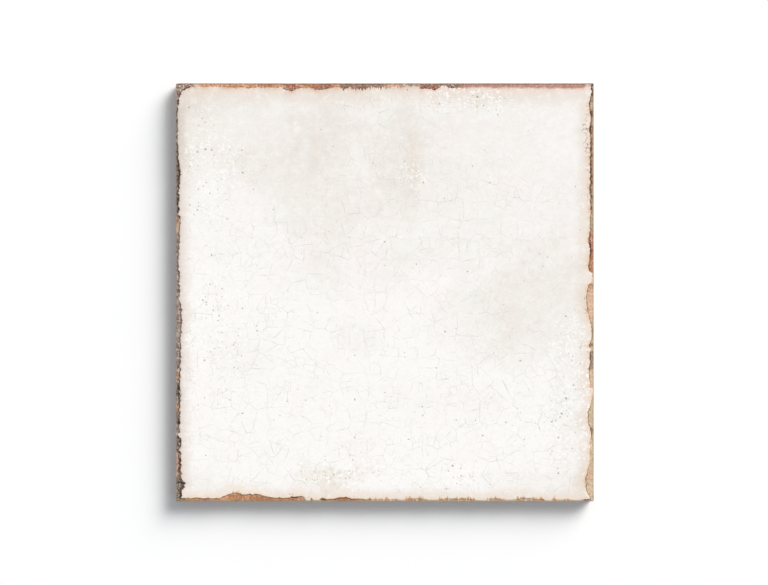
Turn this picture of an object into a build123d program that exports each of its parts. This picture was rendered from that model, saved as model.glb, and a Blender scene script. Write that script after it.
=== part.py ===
from build123d import *
import math
import os

os.makedirs("parts", exist_ok=True)

# A square wall tile in millimetres, lying on its back with the glazed face up.
# The origin is on the bed plane, under the middle of the tile.

# Body
side = 200.0
thickness = 8.5
upright_corner_radius = 0.8
back_edge_radius = 0.4
# The press die leans the lower part of each side in towards the back.
side_draft = 0.5
upright_band_floor = 4.5

# Glazed face: it is flat in the middle and falls away in a soft cushion to the arris.
cushion_width = 6.0
cushion_drop = 0.35
arris_radius = 0.6

# Keyed back: a grid of shallow pockets that the adhesive fills, with lands between them.
# The count is even, so two lands cross under the middle of the tile.
pocket_count = 8
pocket_depth = 0.8
pocket_draft_degrees = 35.0
pocket_corner_cut = 3.0
land_width = 5.0
rim_width = 8.0

# Flakes broken off the arris, side by side. Each has its place to the right of the
# middle of its side, as seen from the middle of the tile, then its half length along
# the side and its reach over the face.
back_flakes = [(-69, 19, 2.0), (-44.3, 4.5, 3.2), (-30, 5, 2.8), (-13.7, 6.5, 2.6),
               (21.7, 5, 3.4), (65, 30, 2.0)]
left_flakes = [(-47.7, 4.5, 2.8), (-10.9, 10, 3.2), (17.4, 19, 2.3), (55.6, 9.5, 2.2)]
front_flakes = [(22.3, 5, 2.0), (40.5, 5.3, 2.7), (60, 8, 3.4), (70.5, 7.5, 4.3)]
right_flakes = [(-50.8, 4, 2.2), (-25.5, 6.7, 2.4), (-13.1, 3.2, 2.6), (4.6, 10.3, 3.6),
                (40, 5.5, 2.8), (56.5, 5.2, 2.5), (87, 9.6, 3.8)]
flake_depth_share = 0.35

half_side = side / 2
arris_height = thickness - cushion_drop
pocket_pitch = (side - 2 * rim_width + land_width) / pocket_count
pocket_side = pocket_pitch - land_width

with BuildPart() as wall_tile:
    # One section, pressed both ways, makes the drafted sides and the cushioned face.
    for across, keep in ((Plane.XZ, Mode.ADD), (Plane.YZ, Mode.INTERSECT)):
        with BuildSketch(across) as section:
            with BuildLine():
                Polyline(
                    (0, thickness),
                    (0, 0),
                    (half_side - side_draft, 0),
                    (half_side, upright_band_floor),
                    (half_side, arris_height),
                )
                flat = Line((0, thickness), (half_side - cushion_width, thickness))
                TangentArc(flat @ 1, (half_side, arris_height), tangent=flat % 1)
            make_face()
            outer = section.vertices().filter_by(lambda corner: corner.X > half_side / 2)
            fillet(outer.sort_by(Axis.Y)[0], radius=back_edge_radius)
            outer = section.vertices().filter_by(lambda corner: corner.X > half_side - 1e-6)
            fillet(outer.sort_by(Axis.Y)[-1], radius=arris_radius)
            mirror(about=Plane.YZ)
        extrude(amount=side, both=True, mode=keep)
    with BuildSketch():
        RectangleRounded(side, side, upright_corner_radius)
    extrude(amount=thickness, mode=Mode.INTERSECT)

    # Pockets of the back, with their corners cut off as the press die's are
    with BuildSketch() as pockets:
        with GridLocations(pocket_pitch, pocket_pitch, pocket_count, pocket_count):
            Rectangle(pocket_side, pocket_side)
        chamfer(pockets.vertices(), length=pocket_corner_cut)
    extrude(amount=pocket_depth, taper=pocket_draft_degrees, mode=Mode.SUBTRACT)

    # Each flake is the shallow bowl that a ball leaves where it meets face and side.
    # The sides come in turn, a quarter turn to the left each time.
    for quarter, row in enumerate((back_flakes, left_flakes, front_flakes, right_flakes)):
        for along, half_length, reach in row:
            depth = flake_depth_share * reach
            beyond_side = (half_length**2 - reach**2) / (2 * reach)
            above_arris = (half_length**2 - depth**2) / (2 * depth)
            ball_radius = math.hypot(beyond_side, above_arris + depth)
            with Locations(Location((0, 0, 0), (0, 0, 90 * quarter))):
                with Locations((along, half_side + beyond_side, arris_height + above_arris)):
                    Sphere(ball_radius, mode=Mode.SUBTRACT)

wall_tile.part.label = "wall_tile"
export_step(wall_tile.part, "parts/wall_tile.step")
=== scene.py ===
# %% [markdown]
# # A crackle-glazed ceramic wall tile
# The real tile is a slab of pressed clay, fired once, dipped in white glaze and fired again.
# The glaze shrank more than the clay as it cooled, so it split into a net of fine cracks,
# and later knocks broke it off the arris, where the bare clay now shows.
# The imported CAD model gives the frame: where the tile lies and how large it is. This
# script gives the looks. We open the model first and keep its box.

# %% Open the imported model
import bpy
import math
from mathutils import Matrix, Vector, noise


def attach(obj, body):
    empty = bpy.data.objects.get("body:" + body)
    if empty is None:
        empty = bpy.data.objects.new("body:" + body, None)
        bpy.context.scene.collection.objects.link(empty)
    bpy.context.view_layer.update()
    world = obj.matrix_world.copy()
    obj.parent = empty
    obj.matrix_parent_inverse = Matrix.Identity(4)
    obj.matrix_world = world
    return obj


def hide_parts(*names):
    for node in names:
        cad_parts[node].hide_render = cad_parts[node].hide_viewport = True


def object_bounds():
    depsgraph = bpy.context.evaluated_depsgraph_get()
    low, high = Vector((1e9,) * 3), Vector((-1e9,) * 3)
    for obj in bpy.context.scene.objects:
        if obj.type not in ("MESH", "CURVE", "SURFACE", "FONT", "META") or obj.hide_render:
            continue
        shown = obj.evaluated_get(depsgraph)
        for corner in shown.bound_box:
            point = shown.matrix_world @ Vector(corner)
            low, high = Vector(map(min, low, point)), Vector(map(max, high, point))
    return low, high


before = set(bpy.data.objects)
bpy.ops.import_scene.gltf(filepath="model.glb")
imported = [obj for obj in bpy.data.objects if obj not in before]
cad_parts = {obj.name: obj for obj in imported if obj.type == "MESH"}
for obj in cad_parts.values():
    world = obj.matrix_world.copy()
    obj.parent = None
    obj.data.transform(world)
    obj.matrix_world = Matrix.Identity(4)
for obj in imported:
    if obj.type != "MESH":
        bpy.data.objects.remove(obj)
cad_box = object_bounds()
MM = 0.001
low, high = cad_box
half_side = (high.x - low.x) / 2 / MM
face_height = high.z / MM
print(f"tile: {2 * half_side:.1f} mm square, {face_height:.2f} mm thick")

# %% [markdown]
# ## Camera
# The tile was photographed from straight above and fills a little over half of the
# picture's width. A long lens far away keeps its four sides parallel in the picture, as
# they are in the photograph. An orthographic camera would do that too, but a long lens is
# what a photographer has, and it still shows a little depth at the arris.

# %% Camera
picture_width_px = 768
tile_width_px = 418.2
sensor_width = 36.0
camera_distance = 1.5
camera_shift_x, camera_shift_y = -0.33 * MM, -0.1 * MM

picture_width = 2 * half_side * MM * picture_width_px / tile_width_px
camera_data = bpy.data.cameras.new("straight_down")
camera_data.sensor_width = sensor_width
camera_data.lens = sensor_width * camera_distance / picture_width
camera = bpy.data.objects.new("straight_down", camera_data)
camera.location = (camera_shift_x, camera_shift_y, high.z + camera_distance)
bpy.context.scene.collection.objects.link(camera)
bpy.context.scene.camera = camera
print(f"lens {camera_data.lens:.1f} mm at {camera_distance} m")

# %% [markdown]
# ## Nodes in Python
# A material is a graph of nodes. Placing dozens of Math nodes one by one hides the sum that
# they make, so one small class wraps a socket and lets us write `1 - mask * 2`. Each
# operator adds its Math node behind the scenes. Every other kind of node comes from one
# method: its kind, its settings, then the values or links of its sockets.

# %% A socket that can be calculated with
class Wire:
    """An output socket that can stand in a sum, as a number does."""

    def __init__(self, finish, socket):
        self.finish, self.socket = finish, socket

    def __add__(self, other):
        return self.finish.maths("ADD", self, other)

    def __sub__(self, other):
        return self.finish.maths("SUBTRACT", self, other)

    def __rsub__(self, other):
        return self.finish.maths("SUBTRACT", other, self)

    def __mul__(self, other):
        return self.finish.maths("MULTIPLY", self, other)

    def __abs__(self):
        return self.finish.maths("ABSOLUTE", self)

    __radd__ = __add__
    __rmul__ = __mul__


class Finish:
    """The nodes that make a material, or the sky."""

    def __init__(self, owner):
        owner.use_nodes = True
        self.owner, self.tree = owner, owner.node_tree
        self.tree.nodes.clear()

    def node(self, kind, settings, sockets, take=None):
        """Adds a node and gives back its first output, the one named `take`, or a list of them."""
        made = self.tree.nodes.new(kind)
        for name, setting in settings.items():
            setattr(made, name, setting)
        for name, value in sockets.items():
            if isinstance(value, Wire):
                self.tree.links.new(value.socket, made.inputs[name])
            else:
                made.inputs[name].default_value = value
        if isinstance(take, list):
            return [Wire(self, made.outputs[name]) for name in take]
        if take is None:
            return Wire(self, next(s for s in made.outputs if s.enabled))
        return Wire(self, made.outputs[take])

    def maths(self, operation, *terms):
        """Calculates with numbers."""
        return self.node("ShaderNodeMath", {"operation": operation}, dict(enumerate(terms)))

    def blend(self, factor, first, second):
        """Mixes two colours."""
        return self.node("ShaderNodeMix", {"data_type": "RGBA"}, {0: factor, 6: first, 7: second})


def tone_of(hex_colour):
    """Turns a colour as written in a paint program into the light values shaders use."""
    channels = [int(hex_colour[i:i + 2], 16) / 255 for i in (1, 3, 5)]
    return Vector(c / 12.92 if c <= 0.04045 else ((c + 0.055) / 1.055) ** 2.4 for c in channels)


def linear(hex_colour):
    """The same with an alpha of 1, as a colour socket wants it."""
    return (*tone_of(hex_colour), 1.0)


print("white glaze in light values:", [round(c, 3) for c in linear("#FBF9F6")])

# %% [markdown]
# ## Light
# The shadow falls to the left and below, so the main light comes from the upper right. Its
# edge is soft, with a long faint tail, as from a softbox with a bright middle. A sun lamp
# lights every place alike and the width of its disc softens the edge, so two suns stand one
# in the other: a narrower bright one and a wide faint one. The sky adds an even fill. Where
# the camera or a reflection looks past the tile the sky is shown plain white, which the
# Light Path node tells apart.

# %% Light
sun_height = math.radians(29.5)
sun_bearing = math.radians(47.5)
softbox = {"softbox_middle": (28, 1.68), "softbox_edge": (50, 2.51)}  # disc in degrees, strength
sky_fill = 0.345
sky_colour = (0.93, 1.0, 1.06, 1)
softbox_colour = (1.03, 1.0, 0.97)

towards_sun = Vector((math.cos(sun_height) * math.cos(sun_bearing),
                      math.cos(sun_height) * math.sin(sun_bearing), math.sin(sun_height)))
for name, (disc, strength) in softbox.items():
    sun_data = bpy.data.lights.new(name, "SUN")
    sun_data.energy = strength
    sun_data.angle = math.radians(disc)
    sun_data.color = softbox_colour
    sun = bpy.data.objects.new(name, sun_data)
    sun.rotation_mode = "QUATERNION"
    sun.rotation_quaternion = towards_sun.to_track_quat("Z", "Y")
    bpy.context.scene.collection.objects.link(sun)


def looked_at(finish):
    """1 where the camera, a reflection or glass shows a surface, 0 where it only gives light."""
    camera_ray, gloss_ray, glass_ray = finish.node(
        "ShaderNodeLightPath", {}, {}, ["Is Camera Ray", "Is Glossy Ray", "Is Transmission Ray"])
    return finish.maths("MAXIMUM", finish.maths("MAXIMUM", camera_ray, gloss_ray), glass_ray)


sky = Finish(bpy.data.worlds.new("studio"))
bpy.context.scene.world = sky.owner
fill = sky.node("ShaderNodeBackground", {}, {"Color": sky_colour, "Strength": sky_fill})
plain = sky.node("ShaderNodeBackground", {}, {"Color": (1, 1, 1, 1), "Strength": 1.0})
shown = sky.node("ShaderNodeMixShader", {}, {0: looked_at(sky), 1: fill, 2: plain})
sky.node("ShaderNodeOutputWorld", {}, {"Surface": shown}, take=[])
bpy.context.scene.view_settings.view_transform = "Standard"
level = sum(s for _, s in softbox.values()) * math.sin(sun_height) / math.pi + sky_fill
print(f"light on a level surface: {level:.2f} (1 shows a colour as it is written)")

# %% [markdown]
# ## Floor
# The tile lies on a plain pale floor that runs far past the picture. It only has to catch
# the shadow, so it is matt and nearly white.

# %% Floor
def choose_only(*pieces):
    """Selects nothing but these pieces, and makes the last of them active."""
    bpy.ops.object.select_all(action="DESELECT")
    for piece in pieces:
        piece.select_set(True)
        bpy.context.view_layer.objects.active = piece


floor_size = 6.0
choose_only()
bpy.ops.mesh.primitive_plane_add(size=floor_size, location=(0, 0, low.z))
floor = bpy.context.object
floor.name = "pale_floor"
floor_glow = 0.025
floor_finish = Finish(bpy.data.materials.new("pale_floor"))
glow = floor_finish.blend(looked_at(floor_finish), (0, 0, 0, 1), (1, 1, 1, 1))
paint = floor_finish.node("ShaderNodeBsdfPrincipled", {},
                          {"Base Color": linear("#FDFDFD"), "Roughness": 1.0,
                           "Specular IOR Level": 0.0, "Emission Color": glow,
                           "Emission Strength": floor_glow})
floor_finish.node("ShaderNodeOutputMaterial", {}, {"Surface": paint}, take=[])
floor.data.materials.append(floor_finish.owner)
print("floor", floor.dimensions.x, "m square")

# %% [markdown]
# ## The wear along the arris
# On the real tile each side was knocked in its own way: long shallow scrapes, short deep
# flakes, and places where the glaze still reaches the side. The fired clay beneath changes
# too, from sooty and speckled on the left to smooth sand on the right, and in places the
# glaze ends in fine teeth like a comb. One noise pattern could not give four such sides, so
# we name the kinds of clay first, and then walk along each side with a list of stops.

# %% Kinds of fired clay
# Each kind: its colour, how speckled it is, and how far the glaze beside it is toothed, in mm,
# or, below 0, over what width it thins out instead.
clay_kinds = {
    "char": ("#4C4239", 0.7, 0.8), "burst": ("#3A312B", 0.8, 2.0), "umber": ("#625147", 0.8, 0.7),
    "bark": ("#85644F", 0.3, 0.5), "dark_comb": ("#7D5A46", 0.2, 1.8),
    "pale_comb": ("#B48C6C", 0.2, 2.8), "peach_comb": ("#BE9474", 0.2, 1.6),
    "maroon": ("#704A45", 0.7, 0.6), "mauve": ("#9A807C", 0.8, 0.5), "ash": ("#978A85", 0.8, 0.6),
    "olive": ("#92816B", 0.3, 0.4), "dust": ("#8E8777", 0.4, 0.7), "rust": ("#9E5A3C", 0.3, 0.3),
    "russet": ("#844A32", 0.3, 0.3), "chestnut": ("#AE7143", 0.4, 0.4), "ochre": ("#C58A5B", 0.35, 0.4),
    "singed_ochre": ("#C38A5C", 0.9, 0.5), "tan": ("#B3997C", 0.2, 0.3), "fawn": ("#A58468", 0.2, 0.3),
    "rosy": ("#B88D79", 0.5, 0.2), "blush": ("#A87C6A", 0.1, -0.5), "sand": ("#CFB896", 0.2, 0.1),
    "peach": ("#DDB698", 0.2, 0.2), "cream": ("#F0DEC8", 0.1, 0.3), "pink": ("#D6B8B1", 0.3, -0.3),
}
print(len(clay_kinds), "kinds of clay")

# %% Stops along the four sides
# Each stop: its place along the side, how far the clay is bare there, the kind of clay, and,
# where there is one, the width of the dark line at the foot of the glaze, in mm.
top_wear = [
    (-99.5, 5.6, "ash", 0.5), (-98.8, 4.7, "ash", 1.0), (-98, 3.3, "maroon", 1.4),
    (-97, 2.8, "maroon", 1.4), (-95, 2.4, "maroon", 1.2), (-92.5, 2.1, "mauve", 0.5),
    (-90, 1.3, "pink"), (-88, 1.6, "ochre"), (-80.5, 1.6, "ochre"), (-76, 2.1, "chestnut"),
    (-65, 2.2, "ochre", 0.1), (-57, 2.0, "chestnut", 0.2), (-49, 2.1, "ochre", 0.2),
    (-48, 2.8, "russet", 0.4), (-44.5, 3.8, "rust", 0.6), (-41, 2.3, "chestnut", 0.4),
    (-36.5, 2.1, "chestnut", 0.2), (-33.5, 2.8, "rust", 0.3), (-29.5, 3.2, "russet", 0.4),
    (-26, 2.3, "rust", 0.2), (-23, 2.0, "ochre"), (-20.5, 2.6, "dark_comb", 0.3),
    (-16, 2.2, "dark_comb", 0.4), (-12, 2.9, "dark_comb", 0.6), (-9, 2.6, "dark_comb", 0.3),
    (-6, 2.1, "dark_comb"), (-1, 2.3, "dark_comb"), (1.5, 1.8, "peach_comb"), (7, 1.8, "peach_comb"),
    (9, 1.6, "mauve", 0.2), (10.5, 1.0, "tan", 0.1), (12.5, 1.3, "dust", 0.1), (15, 1.3, "dust", 0.1),
    (16, 1.5, "tan", 0.2), (17.5, 2.6, "russet", 0.4), (20, 2.8, "russet", 0.5),
    (22, 2.7, "russet", 0.5), (24, 3.3, "russet", 0.6), (26, 2.2, "bark", 0.3),
    (27.3, 1.0, "bark", 0.1), (29, 1.1, "bark", 0.1), (31, 2.3, "umber", 0.3), (34, 2.5, "bark", 0.2),
    (39, 2.1, "blush"), (48, 1.8, "blush"), (52, 2.4, "blush", 0.1), (56, 2.0, "blush"),
    (76, 2.2, "blush"), (80, 2.6, "blush"), (83, 2.2, "blush"), (88, 2.6, "blush"), (95, 2.1, "blush"),
    (96.5, 1.3, "pink"), (99, 1.3, "umber", 0.3),
]
right_wear = [
    (-99.5, 0.5, "pink"), (-98.5, 1.2, "sand", 0.5), (-95, 3.3, "sand", 0.5), (-91, 4.1, "sand", 0.5),
    (-88, 3.8, "peach", 0.4), (-84, 2.6, "sand", 0.2), (-80, 1.9, "sand"), (-72, 1.9, "sand"),
    (-69, 1.2, "sand", 0.4), (-65.5, 1.5, "olive", 0.6), (-62.5, 2.9, "sand", 0.4),
    (-57, 2.6, "sand", 0.4), (-51, 0.8, "sand", 0.2), (-47, 0.7, "cream"), (-45, 2.0, "peach", 0.3),
    (-38, 2.2, "sand", 0.3), (-36, 2.4, "olive", 0.6), (-34, 1.8, "olive", 0.6),
    (-29, 1.8, "olive", 0.6), (-27.3, 1.3, "sand", 0.2), (-26, 2.6, "olive", 0.5),
    (-22.5, 1.0, "sand", 0.4), (-16.5, 1.0, "tan", 0.4), (-11, 2.5, "peach", 0.4),
    (-6, 3.6, "peach", 0.4), (0, 3.5, "peach", 0.5), (3.5, 2.5, "ochre", 0.5), (5, 0.5, "cream"),
    (9, 0.5, "cream", 0.3), (10.5, 2.6, "chestnut", 0.6), (14, 2.5, "chestnut", 0.5),
    (17, 1.9, "chestnut", 0.7), (20.5, 1.9, "rust", 0.8), (24, 2.7, "rust", 1.4),
    (27, 2.5, "chestnut", 0.9), (29.5, 1.8, "tan", 0.6), (32, 1.8, "tan", 0.3), (37, 1.8, "tan", 0.3),
    (39, 1.6, "tan", 0.9), (46, 1.7, "tan", 0.9), (49.5, 2.2, "tan", 1.1), (53, 1.7, "fawn", 0.9),
    (58, 2.0, "fawn", 1.0), (67, 1.7, "fawn", 0.9), (74, 1.7, "fawn", 0.9), (77.5, 2.2, "bark", 1.1),
    (81, 1.6, "tan", 0.8), (85.5, 1.6, "bark", 0.9), (88, 2.2, "tan", 0.6), (90.5, 2.2, "tan", 0.6),
    (93, 1.6, "fawn", 0.8), (95, 1.2, "bark", 0.7), (99.5, 1.6, "umber", 1.0),
]
bottom_wear = [
    (-100, 1.5, "bark", 0.3), (-96.5, 1.5, "bark", 0.3), (-95, 1.5, "ochre", 0.2),
    (-89, 1.5, "ochre", 0.3), (-86, 1.6, "rust", 0.4), (-82, 1.3, "ochre", 0.3),
    (-79, 1.4, "ochre", 0.3), (-75.5, 3.0, "ochre", 0.4), (-71.5, 4.2, "chestnut", 0.4),
    (-67, 3.2, "ochre", 0.4), (-61, 3.5, "chestnut", 0.4), (-55.5, 2.0, "chestnut", 0.3),
    (-46.5, 1.6, "chestnut", 0.3), (-44, 2.4, "chestnut", 0.8), (-40, 2.3, "ochre", 0.5),
    (-38.7, 2.1, "peach", 0.2), (-37.9, 0.6, "cream"), (-36, 0.5, "cream"), (-35.2, 1.7, "olive", 1.2),
    (-34, 0.6, "sand"), (-31.5, 0.6, "sand"), (-29.5, 1.6, "olive", 0.9), (-27.5, 1.1, "ochre", 0.4),
    (-23.5, 1.3, "ochre", 0.5), (-21.5, 1.9, "rust", 0.7), (-18.5, 2.2, "chestnut", 0.6),
    (-16, 1.3, "rust", 0.4), (-11, 1.1, "ochre", 0.2), (-4, 0.8, "pale_comb"), (6, 1.0, "pale_comb"),
    (8, 0.5, "cream"), (11, 1.1, "pale_comb"), (16, 1.5, "pale_comb"), (19, 1.0, "pale_comb"),
    (21, 0.6, "cream"), (24, 0.6, "sand"), (27, 1.0, "pale_comb"), (31, 1.4, "pale_comb"),
    (35, 1.0, "pale_comb"), (38, 1.5, "pale_comb"), (42, 1.0, "pale_comb"), (44, 0.5, "cream"),
    (48, 0.5, "cream"), (50, 1.2, "pale_comb"), (52.5, 1.5, "pale_comb"), (55.5, 1.0, "pale_comb"),
    (58, 0.7, "pink"), (61, 0.6, "cream"), (63, 1.2, "pale_comb"), (66, 1.6, "pale_comb"),
    (72, 1.2, "pale_comb"), (75, 1.3, "pale_comb"), (77, 0.4, "cream"), (79, 0.4, "cream"),
    (81, 1.0, "pale_comb"), (84, 0.6, "cream"), (87.5, 0.9, "pale_comb"), (90, 0.5, "cream"),
    (93, 0.5, "cream"), (95.5, 1.2, "mauve", 0.2), (99, 0.8, "pink", 0.2),
]
left_wear = [
    (-99.5, 2.6, "bark", 0.6), (-97, 3.3, "umber", 1.2), (-94.5, 2.9, "umber", 1.4),
    (-93, 4.2, "burst", 2.0), (-91, 4.4, "burst", 2.0), (-89.5, 2.8, "umber", 1.3),
    (-88, 2.7, "rosy", 1.5), (-77, 2.6, "rosy", 1.4), (-75.5, 1.6, "umber", 0.8),
    (-74, 2.6, "char", 0.8), (-70, 2.6, "char", 0.8), (-68, 0.9, "pink"), (-67, 1.9, "ash", 0.4),
    (-64, 1.9, "ash", 0.4), (-62.5, 2.3, "char", 0.9), (-60, 1.8, "umber", 0.7),
    (-58.5, 1.8, "umber", 0.5), (-55, 1.8, "singed_ochre", 0.6), (-51.5, 2.3, "umber", 1.1),
    (-48, 2.1, "burst", 1.2), (-45.5, 2.4, "umber", 1.2), (-43.5, 1.8, "ash", 0.4),
    (-42, 1.9, "singed_ochre", 0.6), (-34, 2.3, "ash", 0.5), (-25, 2.4, "mauve", 0.5),
    (-22, 2.0, "ash", 0.5), (-19, 3.0, "ash", 0.5), (-14, 2.8, "mauve", 0.5), (-6, 2.5, "mauve", 0.5),
    (-4, 1.5, "pink", 0.2), (-2.5, 1.4, "ash", 0.3), (2, 2.0, "ash", 0.6), (6, 1.7, "ash", 0.5),
    (9, 1.9, "ash", 0.6), (12.5, 1.3, "mauve", 0.5), (17, 1.2, "mauve", 0.4), (21, 1.8, "mauve", 0.5),
    (27, 2.1, "mauve", 0.5), (30, 2.0, "peach", 0.4), (36, 1.9, "singed_ochre", 0.4),
    (37.5, 0.8, "dust"), (39, 1.5, "char", 0.9), (49, 1.6, "char", 0.9), (52.5, 2.4, "char", 1.2),
    (55, 2.1, "umber", 1.0), (58, 1.9, "umber", 1.0), (61.5, 2.1, "char", 1.0), (64, 1.2, "dust", 0.9),
    (70.5, 1.1, "dust", 0.9), (72.3, 0.6, "dust", 0.1), (74, 1.0, "dust", 0.8), (76, 0.7, "dust", 0.1),
    (77.5, 1.0, "dust", 0.8), (81.5, 1.2, "dust", 0.9), (83, 0.7, "dust", 0.1),
    (84.5, 1.0, "dust", 0.8), (89, 1.2, "dust", 0.8), (91, 1.7, "maroon", 0.8),
    (93.5, 1.9, "mauve", 0.9), (95, 2.3, "maroon", 1.2), (97, 2.8, "maroon", 1.4),
    (98, 3.3, "maroon", 1.4), (98.8, 4.7, "ash", 1.0), (99.5, 5.6, "ash", 0.5),
]
sides_wear = {"top": top_wear, "right": right_wear, "bottom": bottom_wear, "left": left_wear}
for name, stops in sides_wear.items():
    print(f"{name}: {len(stops)} stops, bare {min(s[1] for s in stops)} to "
          f"{max(s[1] for s in stops)} mm")

# %% [markdown]
# Between two stops the bare width runs evenly, and Blender's own noise makes it ragged.
# mathutils.noise gives the same value for the same place on every run, so the tile comes
# out the same each time. Each side reads the noise at its own depth, so no two are alike.
# The four sides are painted unlike too: the outermost edge of the top and right is painted dark,
# as painted shade at the arris, and that of the bottom and left pale, as painted light.

# %% Reading the wear at a place
least_reach = 0.35
side_depth = {"top": 11.0, "right": 23.0, "bottom": 37.0, "left": 53.0}
# How ragged the edge of the glaze is, in mm, how bright the clay is, which is painted light
# and shade against the lamps' light and shade on the rims, the colour of the outermost edge,
# painted shade on the top and right and painted light on the bottom and left, how strong it
# is there and how far in it goes, in mm.
side_looks = {
    "top": (0.25, 0.99, "#332E2A", 1.0, 0.9),
    "right": (0.22, 0.86, "#332E2A", 0.9, 0.6),
    "bottom": (0.26, 1.78, "#EBD9C2", 0.45, 1.1),
    "left": (0.42, 1.55, "#DED7D0", 0.8, 0.85),
}
palest = 0.86


def grain(x, y, z, size_mm):
    """Noise from -1 to 1 with lumps about size_mm wide."""
    return noise.noise(Vector((x, y, z)) / size_mm)


def stop_at(side_name, along):
    """The two stops around a place and how far it is from the first to the second."""
    stops = sides_wear[side_name]
    along = min(stops[-1][0], max(stops[0][0], along))
    for first, second in zip(stops, stops[1:]):
        if along <= second[0]:
            return first, second, (along - first[0]) / (second[0] - first[0])


def reach_at(side_name, along):
    """How far from the side the clay is bare."""
    depth, ragged = side_depth[side_name], side_looks[side_name][0]
    first, second, share = stop_at(side_name, along)
    reach = first[1] + (second[1] - first[1]) * share
    uneven = ragged * (grain(along, 0, depth, 2.6) + grain(along, 5, depth, 1.3)
                       + grain(along, 9, depth, 0.9))
    return max(least_reach, reach + uneven * min(1.0, reach / 1.5))


def soft(value):
    """A soft step from 0 to 1."""
    value = min(1.0, max(0.0, value))
    return value * value * (3 - 2 * value)


def clay_at(side_name, along, inside):
    """The clay at a place: red, green, blue, how speckled, how toothed, and its dark line."""
    _, bright, edge_colour, strongest, edge_width = side_looks[side_name]
    uneven = grain(along, inside, side_depth[side_name] + 3, 1.5)
    first, second, share = stop_at(side_name, along + uneven)
    share = soft(2.0 * share - 0.5)
    ends = []
    for _, _, kind, *line in (first, second):
        colour, speckled, toothed = clay_kinds[kind]
        # Painted light and shade: the clay of the bottom and left rims, which face away from the lamps,
        # is brightened, and that of the lit right rim darkened.
        tone = tone_of(colour) * bright
        tone *= min(1.0, palest / max(tone))
        # The outermost edge is painted: dark as painted shade on the top and right, pale as painted
        # light on the bottom and left.
        painted_edge_shading = strongest * (1 - soft(inside / edge_width))
        tone = tone.lerp(tone_of(edge_colour), painted_edge_shading)
        ends.append(Vector((*tone, speckled * (1 - 0.8 * painted_edge_shading), toothed, *(line or [0.0]))))
    return ends[0].lerp(ends[1], share)


print("bare width halfway along the left side:", round(reach_at("left", 0.0), 2), "mm")

# %% [markdown]
# ## The tile body
# The piece is one closed skin: glazed face, broken lip of glaze, bare clay, four sides and
# the keyed back. By hand we would start from a grid for the flat of the face, divide its
# border finely, and extrude that border outwards and then down, ring after ring. A ring
# stands wherever the shape turns: at the lip, over the bare clay, and round the edges.
# Everything is first made square and even, and worn afterwards.

# %% The flat of the face
flat_half = 92.0
face_cells = 92
border_cuts = 5


def select_border():
    """Selects the open edges of the mesh in edit mode, and nothing else."""
    bpy.ops.mesh.select_mode(type="EDGE")
    bpy.ops.mesh.select_non_manifold(extend=False, use_wire=False, use_boundary=True,
                                     use_multi_face=False, use_non_contiguous=False,
                                     use_verts=False)


choose_only()
bpy.ops.mesh.primitive_grid_add(x_subdivisions=face_cells, y_subdivisions=face_cells,
                                size=2 * flat_half * MM, location=(0, 0, face_height * MM))
tile = bpy.context.object
tile.name = tile.data.name = "glazed_tile"
bpy.ops.object.transform_apply(location=True, rotation=True, scale=True)
bpy.ops.object.mode_set(mode="EDIT")
select_border()
bpy.ops.mesh.subdivide(number_cuts=border_cuts)
select_border()
bpy.ops.object.mode_set(mode="OBJECT")
border = sum(edge.select for edge in tile.data.edges)
print(f"face: {len(tile.data.polygons)} cells, {border} edges round the border")

# %% Rings from the flat of the face to the back
side_draft = 0.5
upright_floor = 4.5
back_edge = 0.4
back_lap = 0.5
# Each ring: how far it lies inside the tile's side, and its height, in millimetres.
face_rings = [(inside, face_height) for inside in
              (6.8, 5.8, 4.9, 4.1, 3.4, 2.9, 2.5, 2.2, 2.06, 2.0, 1.94, 1.6, 1.24, 0.9, 0.56,
               0.24, 0.0)]
side_top = 8.3
side_rings = [(0.0, height) for height in (side_top, 6.8, 5.6, upright_floor)]
draft_rings = [(side_draft * (upright_floor - height) / upright_floor, height)
               for height in (3.0, 1.5, back_edge)]
foot_inside = draft_rings[-1][0]
back_rings = [(foot_inside + back_edge * (1 - math.cos(turn)), back_edge * (1 - math.sin(turn)))
              for turn in (math.radians(30), math.radians(60), math.radians(90))]
back_rings.append((back_rings[-1][0] + back_lap, 0.0))
rings = face_rings + side_rings + draft_rings + back_rings

bpy.ops.object.mode_set(mode="EDIT")
now_half, now_height = flat_half, face_height
for inside, height in rings:
    wanted_half = half_side - inside
    grow = wanted_half / now_half
    bpy.ops.mesh.extrude_edges_move(
        TRANSFORM_OT_translate={"value": (0, 0, (height - now_height) * MM)})
    if abs(grow - 1) > 1e-9:
        bpy.ops.transform.resize(value=(grow, grow, 1), center_override=(0, 0, 0))
    now_half, now_height = wanted_half, height
bpy.ops.object.mode_set(mode="OBJECT")
print(f"{len(rings)} rings, {len(tile.data.polygons)} faces so far")

# %% [markdown]
# ## The keyed back
# A wall tile's back is pressed with a grid of shallow pockets for the adhesive to grip. It
# is hidden in the photograph, and follows the CAD model. A grid whose lines stand on the
# pocket edges gives all 64 at once. Each corner cell is split across, the faces inside the
# cut corners are selected together, and insets press them in with drafted walls.

# %% A grid on the pocket lines
pockets_across = 8
pocket_pitch = 23.625
pocket_side = 18.625
corner_cut = 3.0
corner_pull = 0.6

lines = []
for pocket in range(pockets_across):
    start = -flat_half + pocket * pocket_pitch
    lines += [start, start + corner_cut, start + pocket_side - corner_cut, start + pocket_side]
choose_only()
bpy.ops.mesh.primitive_grid_add(x_subdivisions=len(lines) - 1, y_subdivisions=len(lines) - 1,
                                size=2 * flat_half * MM, location=(0, 0, 0))
back = bpy.context.object
even = 2 * flat_half / (len(lines) - 1)


def from_pocket_middle(value):
    """Distance from the middle of the pocket that a value along a line belongs to."""
    pocket = min(pockets_across - 1, max(0, int((value + flat_half) // pocket_pitch)))
    return value + flat_half - pocket * pocket_pitch - pocket_side / 2


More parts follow.
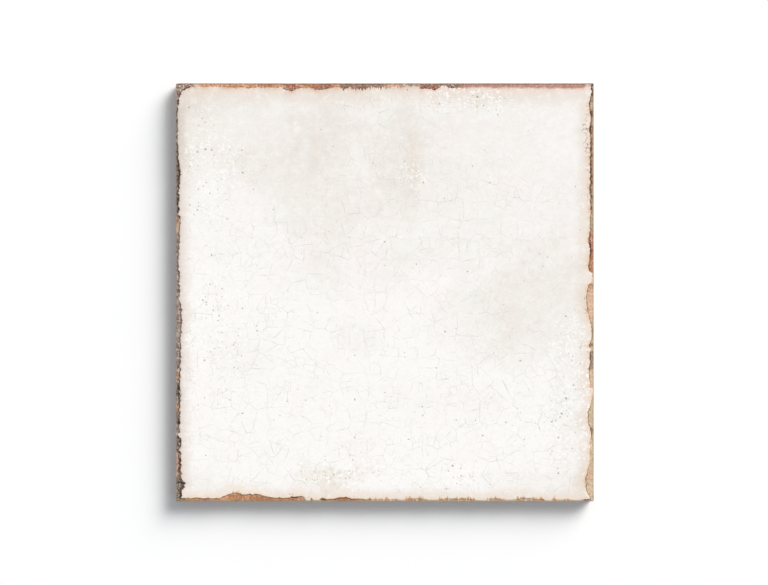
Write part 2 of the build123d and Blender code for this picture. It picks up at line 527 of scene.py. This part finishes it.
for vertex in back.data.vertices:
    column = round((vertex.co.x / MM + flat_half) / even)
    row = round((vertex.co.y / MM + flat_half) / even)
    x, y = lines[column], lines[row]
    if column % 4 in (1, 2) and row % 4 in (1, 2):
        x -= math.copysign(corner_pull, from_pocket_middle(x))
        y -= math.copysign(corner_pull, from_pocket_middle(y))
    vertex.co = (x * MM, y * MM, 0)
print(len(lines), "lines each way")


# %% Pressing the pockets
def choose_faces(piece, wanted):
    """Selects the faces of a piece whose middle, in millimetres, is wanted."""
    bpy.ops.mesh.select_all(action="DESELECT")
    bpy.ops.object.mode_set(mode="OBJECT")
    for face in piece.data.polygons:
        face.select = wanted(face.center / MM)
    bpy.ops.object.mode_set(mode="EDIT")


def in_pocket(middle):
    """Whether a face is pressed in."""
    across = [abs(from_pocket_middle(value)) for value in middle[:2]]
    return max(across) < pocket_side / 2 and sum(across) < pocket_side - corner_cut


def in_corner(middle):
    """Whether a face is a corner cell, which is split."""
    across = [abs(from_pocket_middle(value)) for value in middle[:2]]
    return pocket_side / 2 - corner_cut - corner_pull < min(across) and max(across) < pocket_side / 2


bpy.ops.object.mode_set(mode="EDIT")
bpy.ops.mesh.select_mode(type="FACE")
choose_faces(back, in_corner)
bpy.ops.mesh.quads_convert_to_tris(quad_method="SHORTEST_DIAGONAL")
choose_faces(back, in_pocket)
# The grid faces up, so a positive depth presses into the clay.
for narrower, deeper in ((0.12, 0.06), (0.42, 0.66), (0.2, 0.08)):
    bpy.ops.mesh.inset(thickness=narrower * MM, depth=deeper * MM, use_boundary=True,
                       use_even_offset=True, use_individual=False)
bpy.ops.object.mode_set(mode="OBJECT")
deepest = max(vertex.co.z for vertex in back.data.vertices) / MM
print(f"pockets pressed {deepest:.2f} mm deep")

# %% Joining the back to the body
choose_only(back, tile)
bpy.ops.object.join()
bpy.ops.object.mode_set(mode="EDIT")
select_border()
bpy.ops.mesh.fill(use_beauty=True)
bpy.ops.mesh.select_all(action="SELECT")
bpy.ops.mesh.normals_make_consistent(inside=False)
bpy.ops.mesh.select_non_manifold(extend=False)
bpy.ops.object.mode_set(mode="OBJECT")
open_edges = sum(edge.select for edge in tile.data.edges)
print(f"{len(tile.data.polygons)} faces, {open_edges} open or doubled edges")

# %% [markdown]
# ## Wearing the tile
# Now every vertex moves to its place on the worn tile, as a sculptor would push it. Across
# the rim the rings are drawn in or out so that the ring of the lip lies on the ragged edge
# of the glaze. The glaze ends in a small step, and the clay falls away from there to the
# side, more where the flake is wider. In a corner both sides pull at once, which mitres
# them.

# %% Shape of the worn rim
even_reach = 2.0
rings_free = 2.9
cushion_width = 6.0
cushion_drop = 0.35
glaze_thickness = 0.3
uneven_lip, full_lip_reach = 0.1, 1.2
lip_rounding, rounding_width = 0.05, 0.15
least_fall, fall_share = 0.22, 0.26
roughness_of_clay = 0.13
worn_arris = 0.12
corner_radius = 0.5
mitre_width = 1.5
dip_depth, dip_size = 0.1, 34
dent_depth, dent_size = 0.05, 2.2
below_arris = 0.15
inset_of_flat = half_side - flat_half
# The back stays unworn below this height, this far in. Closer than touch counts as the same.
back_height, back_inset = 0.9, 0.45
touch = 0.02
# What the sides, at their top, and the back keep as their distance to the glaze.
on_side, on_back = -1.0, -9.0


def drawn_in(inside, reach):
    """Where a ring goes, measured from the side, once the glaze ends at reach."""
    if inside <= even_reach:
        return inside * reach / even_reach
    pull = max(0.0, min(1.0, (inset_of_flat - inside) / (inset_of_flat - rings_free)))
    return inside + (reach - even_reach) * pull


def glaze_height(inside):
    """Height of the cushioned glaze, with the inside measured from the nearest side."""
    return face_height - cushion_drop * max(0.0, 1 - inside / cushion_width) ** 2


def rim_height(name, along, ring, inside, reach):
    """Height of a ring at a place along one side."""
    if ring > even_reach - touch:
        rounding = lip_rounding * max(0.0, 1 - (inside - reach) / rounding_width)
        return glaze_height(inside) - rounding
    depth = side_depth[name]
    lip = glaze_thickness + uneven_lip * grain(along, 1, depth, 1.7)
    lip *= min(1.0, reach / full_lip_reach)
    fall = least_fall + fall_share * (reach - least_reach)
    share = inside / reach
    clay = roughness_of_clay * (grain(along, inside, depth + 4, 1.6)
                                + grain(along, inside, depth + 6, 0.7))
    clay *= min(1.0, 0.35 + reach / 3) * soft(2.5 * (1 - share) + 0.2)
    bed = fall * (1 - share) ** 1.4 - clay
    return glaze_height(reach) - lip - max(0.0, bed)


print("glaze at the arris:", round(glaze_height(0.0), 2), "mm high")


# %% Moving the vertices
def sides_near(x, y):
    """The two sides near a place: name, how far along it and how far inside it the place is."""
    return (("right" if x > 0 else "left", y, half_side - abs(x)),
            ("top" if y > 0 else "bottom", x, half_side - abs(y)))


def wear(vertex):
    """The worn place of a vertex, how far it lies inside the glaze, and its clay."""
    x, y, z = vertex / MM
    (x_name, _, x_ring), (y_name, _, y_ring) = sides_near(x, y)
    x_share = soft(0.5 + (y_ring - x_ring) / (2 * mitre_width))
    x_reach = reach_at(x_name, y) if x_ring < inset_of_flat or x_share > 0 else even_reach
    y_reach = reach_at(y_name, x) if y_ring < inset_of_flat or x_share < 1 else even_reach
    nearest = min(x_ring, y_ring)
    on_face = z > side_top + touch
    if not on_face and z < back_height and nearest > back_inset:
        return vertex, on_back, None
    heights, clays = [], []
    for name, along, ring, reach in ((x_name, y, x_ring, x_reach), (y_name, x, y_ring, y_reach)):
        ring = max(0.0, min(ring, nearest + 0.4)) if on_face else 0.0
        inside = drawn_in(ring, reach)
        heights.append(rim_height(name, along, ring, inside, reach))
        clays.append(clay_at(name, along, inside if on_face else z - side_top))
    arris = heights[0] * x_share + heights[1] * (1 - x_share)
    clay = clays[1].lerp(clays[0], x_share)
    if on_face:
        x_inside, y_inside = drawn_in(x_ring, x_reach), drawn_in(y_ring, y_reach)
        if nearest < touch:
            x_inside, y_inside = max(worn_arris, x_inside), max(worn_arris, y_inside)
        glazed = min(x_inside - x_reach, y_inside - y_reach)
        if nearest > inset_of_flat - touch:
            dip = dip_depth * (0.5 + 0.5 * grain(x, y, 71, dip_size))
            arris = face_height - dip * soft((nearest - inset_of_flat) / 10)
        height = arris
    else:
        x_inside, y_inside = x_ring, y_ring
        height, glazed = z, on_side - max(0.0, side_top - z)
        if z > upright_floor:
            share = (z - upright_floor) / (side_top - upright_floor)
            height = upright_floor + share * (arris - below_arris - upright_floor)
        if back_edge < z < side_top - touch:
            dent = dent_depth * (0.5 + 0.5 * grain(x + y, x - y, z * 2, dent_size))
            x_inside, y_inside = x_inside + dent * x_share, y_inside + dent * (1 - x_share)
    round_x, round_y = corner_radius - x_inside, corner_radius - y_inside
    if round_x > 0 and round_y > 0 and nearest < corner_radius:
        slack = 1 - max(round_x, round_y) / math.hypot(round_x, round_y)
        x_inside, y_inside = x_inside + round_x * slack, y_inside + round_y * slack
    worn_x = math.copysign(half_side - x_inside, x)
    worn_y = math.copysign(half_side - y_inside, y)
    return Vector((worn_x, worn_y, height)) * MM, glazed, clay


# Down each side the rim's own clay gives way to this plain body, over these heights.
bare_body = Vector((*tone_of("#C39C7F"), 0.6, 0.0, 0.0))
plain_from, plain_below = 7.6, 5.0
places = []
fields = dict(glazed_by=[], clay_tone=[], toothed=[], lined=[])
for vertex in tile.data.vertices:
    place, glazed, clay = wear(vertex.co)
    if clay is None:
        clay = bare_body
    elif glazed <= on_side:
        clay = clay.lerp(bare_body, soft((plain_from - place.z / MM) / (plain_from - plain_below)))
    places.extend(place)
    for values, found in zip(fields.values(), ([glazed], clay[:4], clay[4:5], clay[5:])):
        values.extend(found)
tile.data.vertices.foreach_set("co", places)
tile.data.update()
glazed_by = fields["glazed_by"]
print(f"{len(glazed_by)} vertices worn, {sum(g < 0 for g in glazed_by)} of them on bare clay")

# %% [markdown]
# ## Clouds, blush and zones
# The white of the real glaze isn't even. Thin glaze near the arris lets the clay blush
# through, and soft greyish clouds lie over the upper half and the right. Such wide, soft
# changes are easy to list as patches: a middle, two half widths and a strength.
# Each vertex keeps the sum of its patches, and the shader adds the fine detail later.

# %% Patches, listed one by one
# Middle x and y, half width and half height, strength, in millimetres.
cloud_patches = [
    (-40, 66, 74, 44, 0.14), (50, 62, 66, 46, 0.16), (-66, 76, 38, 20, 0.3), (-28, 80, 17, 16, 0.3),
    (-52, 58, 26, 12, 0.2), (-30, 44, 22, 22, 0.3), (6, 62, 15, 24, 0.36), (16, 80, 14, 10, 0.1),
    (30, 62, 20, 20, 0.1), (54, 84, 42, 12, 0.12), (-16, 32, 26, 12, 0.12), (60, 42, 42, 28, 0.1),
    (34, 18, 14, 12, 0.14), (-20, 10, 36, 14, 0.14), (6, 14, 14, 10, 0.14), (-30, 12, 9, 8, 0.2),
    (74, -6, 26, 26, 0.46), (44, -12, 24, 20, 0.22), (84, 12, 14, 18, 0.16), (-12, -22, 12, 8, 0.16),
    (-70, -32, 12, 12, 0.14), (88, -62, 10, 30, 0.16), (75, -92, 30, 7, 0.22), (30, -52, 36, 8, 0.08),
    (-90, 93, 16, 9, 0.42), (-92, -92, 12, 8, 0.28), (-36, -94, 16, 5, 0.2), (-94, 72, 8, 26, 0.25),
]
crackle_gaps = [
    (-66, 80, 44, 20, 0.7), (-90, 50, 12, 40, 0.5), (62, 78, 46, 22, 0.7), (76, 4, 22, 22, 0.45),
    (90, 50, 12, 40, 0.5), (-40, 68, 30, 14, 0.4), (-62, 54, 34, 14, 0.4), (-86, -84, 12, 12, 0.55),
]
square_crackle = [(28, 34, 26, 30, 1.0), (8, 46, 14, 24, 0.6), (16, -38, 20, 18, 0.9)]
pinhole_patches = [
    (-80, -22, 14, 34, 0.55), (-76, 60, 14, 14, 0.35), (-84, 42, 6, 10, 0.5), (88, -48, 10, 34, 0.75),
    (38, 92, 20, 6, 0.7), (-20, -54, 30, 14, 0.25), (32, -92, 16, 4, 0.4), (60, 8, 22, 14, 0.12),
    (-13, -85, 12, 8, 1.0), (56, -64, 16, 10, 0.3), (14, 56, 6, 6, 0.7), (-38, -84, 5, 6, 0.6),
    (-84, 66, 12, 24, 0.3), (37, -87, 7, 5, 0.8), (-25, -86, 14, 6, 0.6), (74, -62, 12, 14, 0.4),
]
stain_patches = [
    (-38, -86, 4, 5, 0.6), (-27, -87, 6, 3.2, 1.0), (-26, -92, 5, 4, 0.7), (-17, -88, 8, 5, 0.35),
    (-9, -84, 7, 6, 0.25), (-87, 95, 6, 3, 0.4), (13, 56, 4, 20, 0.32), (-24, 72, 12, 9, 0.22),
    (42, 91, 4, 3, 0.35), (96, -92, 6, 5, 0.35), (-78, 16, 3, 3, 0.2),
]
hair_cracked = [
    (97, 79, 2.6, 4.0, 1.0), (97.4, 70, 2.0, 5.0, 1.0), (97.6, 60, 1.6, 4.0, 0.8),
    (97.6, 87.5, 1.6, 3.0, 0.9), (97.6, 48, 1.6, 4.0, 0.8), (-43, -97.4, 6, 1.3, 1.0),
    (-70, -95.8, 7, 1.0, 0.7), (96.2, -5, 1.2, 6, 0.9),
]


def patched(patches, x, y, lump=9.0, wander=0.35):
    """Sum of the soft patches at a place, their outlines made uneven by noise."""
    total = 0.0
    for number, (middle_x, middle_y, half_x, half_y, strength) in enumerate(patches):
        away = math.hypot((x - middle_x) / half_x, (y - middle_y) / half_y)
        if away < 2.0:
            away += wander * (grain(x, y, number * 7, lump) + 0.6 * grain(x, y, number, lump / 2.5))
            total += strength * soft(1.5 - away)
    return total


print("cloud at the middle of the top:", round(patched(cloud_patches, 0, 90), 2))

# %% Blush beside the bare clay
white, cloud_white = tone_of("#FDFAF8"), tone_of("#E6DFD6")
# Colour at the edge of the glaze, how wide it is, colour behind it and how far that goes.
blushes = {
    "top": ("#D0AC94", 1.5, "#EBE1D7", 9.5),
    "right": ("#DFB897", 1.1, "#EADFD4", 7.0),
    "bottom": ("#FBDDBC", 1.0, "#F2E7DC", 6.0),
    "left": ("#D6C2B5", 0.9, "#EEE3DB", 6.0),
}
blush_limit = 16.0
# The right half of the top blushes rosier, and the upper left is sallow further in.
rosy_near, sallow_far = tone_of("#E2BCB0"), tone_of("#DFD2C6")


def blushed(name, along, glazed, colour):
    """The glaze colour beside one side's bare clay."""
    near, width, far, extent = blushes[name]
    near, far, depth = tone_of(near), tone_of(far), side_depth[name]
    if name == "top" and along > 10:
        near = near.lerp(rosy_near, soft((along - 10) / 20))
    if name == "left":
        far = far.lerp(sallow_far, soft((along - 50) / 25))
    uneven = 1 + 0.5 * grain(along, glazed, depth + 13, 6) + 0.3 * grain(along, glazed, depth, 2.2)
    reaching = extent * (1 + 0.35 * grain(along, 0, depth + 17, 14) + 0.2 * grain(along, 3, depth, 4))
    behind = 0.85 * (1 - soft((glazed - 0.35 * reaching) / (0.8 * reaching)))
    beside = min(1.0, 0.95 * math.exp(-max(0.0, glazed) / width) * uneven)
    return colour.lerp(far, behind).lerp(near, max(0.0, beside))


# The patches of each field, how large the bays of their outlines are and how deep.
patched_fields = {"squared": (square_crackle,), "pitted": (pinhole_patches,),
                  "stained": (stain_patches, 4.0, 0.6), "split": (hair_cracked, 3.0, 0.3)}
fields.update({name: [] for name in ("glaze_colour", "clouded", "crackled", *patched_fields)})
for vertex, glazed in zip(tile.data.vertices, glazed_by):
    x, y, z = vertex.co / MM
    on_glaze = glazed > 0.9 * on_side
    cloud = gaps = 0.0
    colour = Vector((1, 1, 1))
    if on_glaze:
        cloud = 0.1 * max(0.0, grain(x, y, 91, 24)) + 0.04 * grain(x, y, 97, 5)
        cloud += patched(cloud_patches, x, y)
        gaps = patched(crackle_gaps, x, y)
        colour = white.lerp(cloud_white, min(1.2, max(0.0, cloud)))
        for name, along, inside in sides_near(x, y):
            if inside < blush_limit:
                colour = blushed(name, along, inside - reach_at(name, along), colour)
    fields["glaze_colour"] += (*colour, 1.0)
    fields["clouded"].append(cloud)
    fields["crackled"].append(max(0.0, 1 - gaps) * soft(glazed / 6))
    for name, patches in patched_fields.items():
        found = patched(patches[0], x, y, *patches[1:]) if on_glaze else 0.0
        fields[name].append(min(1.0, found))
# The shader reads each field from an attribute: a number or a colour for each vertex.
for name, values in fields.items():
    coloured = len(values) > len(tile.data.vertices)
    kept = tile.data.attributes.new(name, "FLOAT_COLOR" if coloured else "FLOAT", "POINT")
    kept.data.foreach_set("color" if coloured else "value", values)
print("fields on the mesh:", [a.name for a in tile.data.attributes if not a.name.startswith(".")])

# %% [markdown]
# ## The finish: crackled glaze
# Cracks in a glaze come in turn. The first run far, and later ones start and end on them,
# so they meet in T shapes and the cells are odd polygons. A Voronoi texture's cell borders
# give the first cracks. Its cells also know their own middle and a random colour, and with
# those each cell gets a straight crack of its own, and half of it one more. Noise makes all
# of them wander, and opens gaps in them.

# %% Position in millimetres
finish = Finish(bpy.data.materials.new("glazed_clay"))
position = finish.node("ShaderNodeTexCoord", {}, {}, "Object")
position = finish.node("ShaderNodeVectorMath", {"operation": "SCALE"},
                       {0: position, "Scale": 1 / MM})
x_place, y_place, height = finish.node("ShaderNodeSeparateXYZ", {}, {0: position}, ["X", "Y", "Z"])


def field(name, take="Fac"):
    """What the vertices of the tile keep under a name."""
    return finish.node("ShaderNodeAttribute", {"attribute_name": name}, {}, take)


def vector(operation, *terms):
    """Calculates with places or colours."""
    return finish.node("ShaderNodeVectorMath", {"operation": operation}, dict(enumerate(terms)))


def either(first, second):
    """The larger of two masks."""
    return finish.maths("MAXIMUM", first, second)


def smooth(value, start, end):
    """A soft step from 0 at start to 1 at end, which may be the smaller one."""
    return finish.node("ShaderNodeMapRange", {"interpolation_type": "SMOOTHSTEP"},
                       {"Value": value, "From Min": start, "From Max": end})


print("position node ready in material", finish.owner.name)


# %% Noise
def cloudy(size_mm, detail=3.0, roughness=0.55, shift=(0, 0, 0), place=position):
    """Soft noise from 0 to 1 whose lumps are about size_mm wide."""
    return finish.node("ShaderNodeTexNoise", {},
                       {"Vector": vector("ADD", place, shift), "Scale": 1 / size_mm,
                        "Detail": detail, "Roughness": roughness})


def patchy(size_mm, low, high, shift, detail=2.0, roughness=0.55):
    """Patches with soft outlines: noise that counts as 0 below low and as 1 above high."""
    return smooth(cloudy(size_mm, detail, roughness, shift), low, high)


def wandering(size_mm, by_mm, place=position):
    """A position shifted by noise."""
    lumps = finish.node("ShaderNodeTexNoise", {},
                        {"Vector": place, "Scale": 1 / size_mm, "Detail": 1.0}, "Color")
    centred = vector("SUBTRACT", lumps, (0.5, 0.5, 0.5))
    return vector("MULTIPLY_ADD", centred, (2 * by_mm, 2 * by_mm, 0), place)


crack_place = wandering(1.6, 0.24, wandering(9.0, 1.3))
print(len(finish.tree.nodes), "nodes so far")


# %% A net of cracks
def cells(place, size_mm, take, randomness=1.0, **settings):
    """What we take of a Voronoi texture whose cells are about size_mm wide."""
    return finish.node("ShaderNodeTexVoronoi", {"voronoi_dimensions": "2D", **settings},
                       {"Vector": place, "Scale": 1 / size_mm, "Randomness": randomness}, take)


def to_border(place, size_mm, randomness=1.0):
    """How far it is to the nearest border between such cells, in mm."""
    return size_mm * cells(place, size_mm, "Distance", randomness, feature="DISTANCE_TO_EDGE")


def channels(colour):
    """The red, green and blue of a colour."""
    return finish.node("ShaderNodeSeparateColor", {}, {0: colour}, ["Red", "Green", "Blue"])


# The first cracks and the later ones are this wide, and fully dark within the core.
crack_width, later_width, crack_core = 0.32, 0.288, 0.064


def crack_net(cell_mm, randomness, level=False):
    """Cracks round cells, across them and across half of them, each from 0 to 1."""
    border = to_border(crack_place, cell_mm, randomness)
    middle, colour = cells(crack_place, cell_mm, ["Position", "Color"], randomness)
    from_middle = vector("SUBTRACT", crack_place, middle)
    x, y = finish.node("ShaderNodeSeparateXYZ", {}, {0: from_middle}, ["X", "Y"])
    red, green, blue = channels(colour)
    turn = finish.maths("ROUND", red) * (math.pi / 2) if level else red * (2 * math.pi)
    sine, cosine = finish.maths("SINE", turn), finish.maths("COSINE", turn)
    across = x * cosine + y * sine + (green - 0.5) * (0.3 * cell_mm)
    along = y * cosine - x * sine + (blue - 0.5) * (0.4 * cell_mm)
    first = smooth(border, crack_width, crack_core)
    second = smooth(abs(across), later_width, crack_core) * smooth(green, 0.25, 0.3)
    third = smooth(abs(along), later_width, crack_core) * smooth(across, 0.0, 0.02)
    return first, second, third * smooth(blue, 0.3, 0.35)


# The gaps in the three kinds of crack: how wide they are, and the noise below which they open.
open_gaps = ((9.0, 0.37), (7.0, 0.41), (8.0, 0.44))
nets = []
for net in (crack_net(cell_mm=9.0, randomness=0.85),
            crack_net(cell_mm=9.5, randomness=0.4, level=True)):
    first, second, third = [crack * patchy(gap_mm, least, least + 0.16, (gap_mm * 7, 3, 0))
                            for crack, (gap_mm, least) in zip(net, open_gaps)]
    nets.append(either(either(first, second), third))
square_share = smooth(field("squared"), 0.35, 0.65)
cracks = nets[0] * (1 - square_share) + nets[1] * square_share
cracks = cracks * (0.25 + 0.75 * patchy(8.0, 0.36, 0.66, (40, 8, 2), 3.0))
cracks = cracks * (0.4 + 0.6 * patchy(2.0, 0.42, 0.56, (4, 80, 2), 3.0, 0.6))
hair_cell, rim_hair_cell = 4.4, 2.3
hairs = smooth(to_border(wandering(4.0, 0.6), hair_cell), 0.3, 0.08)
hairs = hairs * patchy(8.0, 0.5, 0.62, (9, 9, 5))
cracks = either(cracks, hairs * 0.45) * field("crackled")
print(len(finish.tree.nodes), "nodes so far")

# %% [markdown]
# ## Pinholes, stains and mottling
# Gas that escapes while the glaze melts leaves pinholes. They are dark with dirt and stand
# in clusters, among bright flecks where such a hole healed over, so the field made above
# says where both are common. Fine mottling, at a few millimetres and below, keeps the white
# from looking like paint.

# %% Pinholes
def dots(place, pitch_mm, radius_mm, commonness):
    """Round dots about pitch_mm apart; commonness, from 0 to 1, is the share that shows."""
    near, colour = cells(place, pitch_mm, ["Distance", "Color"])
    red, green, _ = channels(colour)
    size = green * (0.7 * radius_mm) + 0.5 * radius_mm
    round_dot = smooth(near * pitch_mm - size, 0.0, -0.8 * radius_mm)
    return round_dot * finish.maths("LESS_THAN", red, commonness)


ragged_place = wandering(0.9, 0.6)
common = field("pitted") * (0.15 + 0.85 * patchy(7.0, 0.46, 0.6, (8, 8, 60)))
pinholes = either(dots(ragged_place, 3.6, 0.58, common * 0.55 + 0.008),
                  dots(ragged_place, 1.9, 0.36, common * 0.42 + 0.012))
smudges = patchy(1.4, 0.54, 0.7, (2, 2, 30), 3.0, 0.6) * common
flecks = patchy(1.3, 0.53, 0.63, (33, 4, 4), 3.0, 0.6) * smooth(field("pitted"), 0.0, 0.5)
stains = field("stained") * (0.4 + 0.6 * patchy(3.0, 0.44, 0.66, (5, 60, 0), 4.0, 0.65))
rim_hairs = smooth(to_border(wandering(1.2, 0.35), rim_hair_cell), 0.24, 0.06)
rim_hairs = rim_hairs * patchy(1.5, 0.47, 0.56, (50, 1, 7)) * field("split")
print("pinholes, flecks, stains and hair cracks ready")

# %% Colour of the glaze
mottle = cloudy(3.2, 4.0, 0.62, (11, 0, 0))
fine = cloudy(0.9, 3.0, 0.6, (0, 23, 0))
tinge = cloudy(13.0, 2.0, shift=(70, 2, 0))
worn_look = field("clouded") * 0.6 + 0.35
glaze = field("glaze_colour", "Color")
# Each layer lies over those before it: how strong it is, and its colour.
for strength, tint in (
        (smooth(tinge, 0.5, 0.75) * 0.3, "#F6F9F1"),
        (smooth(tinge, 0.5, 0.25) * 0.3, "#FBF1EE"),
        (smooth(mottle, 0.48, 0.72) * worn_look * 0.5, "#E6DFD4"),
        (smooth(mottle, 0.48, 0.28) * 0.45, "#FEFDFA"),
        (smooth(fine, 0.54, 0.74) * 0.26, "#D9D2C8"),
        (smooth(fine, 0.44, 0.26) * 0.5, "#FFFEFA"),
        (stains * 0.65, "#D8C4A8"), (cracks * 0.56, "#C9C4BC"), (flecks * 0.9, "#FFFEFA"),
        (smudges * 0.5, "#C6C0B8"), (pinholes * 0.7, "#80766C"), (rim_hairs * 0.8, "#6E4632")):
    glaze = finish.blend(strength, glaze, linear(tint))
print("glaze colour ready")

# %% [markdown]
# ## The finish: fired clay
# Where the glaze is gone the clay shows, rough and dry. The fields made above carry its
# tone, how speckled it is, how far the glaze ends in teeth, and how wide the dark line is
# at the foot of the glaze. All of these are finer than the mesh, so the
# shader draws them: the cells of a small Voronoi texture are the grains, and noise that is
# stretched across the rim makes the teeth. The back has a dusty wash from the kiln shelf.

# %% Where the glaze ends
ends = field("glazed_by") + (cloudy(0.7, 3.0, 0.6, (0, 14, 9)) - 0.5) * 0.9
stretched = vector("MULTIPLY", position, (1, 0.12, 0.12))
comb = cloudy(0.75, 2.0, 0.5, (3, 1, 0), stretched)
frayed = cloudy(0.9, 3.0, 0.6, (6, 31, 2))
beside = smooth(abs(x_place) - abs(y_place), -1.0, 1.0)
teeth = comb * (1 - beside) + frayed * beside
toothed_by = either(field("toothed"), 0.0)
thinned_by = finish.maths("MINIMUM", field("toothed"), 0.0)
ends = ends + (teeth - 0.5) * toothed_by * 3.0
is_glaze = smooth(ends, thinned_by - 0.08, 0.1 - thinned_by)
line_gaps = patchy(1.8, 0.37, 0.51, (15, 0, 8))
foot_line = smooth(ends + field("lined"), 0.0, 0.2) * (0.25 + 0.75 * line_gaps)
print("edge of the glaze ready")

# %% Colour of the clay
clay, speckled = field("clay_tone", ["Color", "Alpha"])
speck, rosy_share, sallow_share = channels(cells(position, 0.55, "Color", voronoi_dimensions="3D"))
grains = cloudy(0.8, 4.0, 0.7, (0, 0, 31))
blotches = cloudy(2.2, 3.0, 0.6, (0, 0, 47))
# Where noise passes through its middle value it draws thin winding marks.
winding = abs(cloudy(1.4, 2.0, shift=(0, 0, 63)) - 0.5)
pale_grain, dark_grain = "#F4E4D2", "#3A2822"
for strength, tint in (
        (smooth(rosy_share, 0.6, 0.9) * speckled * 0.6, "#B5746A"),
        (smooth(sallow_share, 0.6, 0.9) * speckled * 0.5, "#CDB582"),
        (smooth(grains, 0.5, 0.66) * (0.16 + 0.4 * speckled), pale_grain),
        (smooth(grains, 0.48, 0.34) * (0.18 + 0.4 * speckled), dark_grain),
        (smooth(speck, 0.66, 0.9) * speckled * 0.85, pale_grain),
        (smooth(speck, 0.4, 0.12) * speckled * 0.8, dark_grain),
        (smooth(blotches, 0.5, 0.7) * 0.18, "#9A6247"),
        (smooth(winding, 0.035, 0.012) * speckled * 0.65, "#43282A")):
    clay = finish.blend(strength, clay, linear(tint))
# A dark line is drawn in the clay along the foot of the glaze.
darkened_clay = vector("MULTIPLY", clay, (0.2, 0.115, 0.07))
clay = finish.blend(foot_line * 0.94, clay, darkened_clay)
dusty = smooth(height, 1.2, 0.3) * patchy(9.0, 0.4, 0.65, (3, 3, 0), 5.0, 0.65)
clay = finish.blend(dusty * 0.55, clay, linear("#E3D5C5"))
print("clay colour ready")

# %% Putting the finish together
colour = finish.blend(is_glaze, clay, glaze)
glaze_roughness = 0.34 + smooth(mottle, 0.4, 0.8) * 0.12 + cracks * 0.2
roughness = glaze_roughness * is_glaze + (1 - is_glaze) * 0.92
relief = ((mottle * 0.05 - cracks * 0.04 - pinholes * 0.1) * is_glaze
          + (grains + blotches) * (0.1 + 0.2 * speckled) * (1 - is_glaze))
bump = finish.node("ShaderNodeBump", {}, {"Strength": 0.6, "Distance": MM, "Height": relief})
surface = finish.node("ShaderNodeBsdfPrincipled", {},
                      {"Base Color": colour, "Roughness": roughness, "Normal": bump,
                       "IOR": 1.5, "Coat Weight": is_glaze * 0.25, "Coat Roughness": 0.12})
finish.node("ShaderNodeOutputMaterial", {}, {"Surface": surface}, take=[])
tile.data.materials.append(finish.owner)
print(len(finish.tree.nodes), "nodes in the finish")

# %% [markdown]
# ## Shading and handing over
# Smooth shading hides the facets of the cushion and the worn clay, but a real step such as
# the lip of the glaze has to stay crisp, so only faces that meet at a small angle are
# smoothed. Then the piece takes the place of its CAD node and rides on the same body.

# %% Shading and riding
smooth_up_to = math.radians(48)
choose_only(tile)
bpy.ops.object.shade_smooth_by_angle(angle=smooth_up_to)
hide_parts("wall_tile")
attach(tile, "root")
triangles = sum(len(face.vertices) - 2 for face in tile.data.polygons)
print(f"{triangles} triangles in {tile.name}")
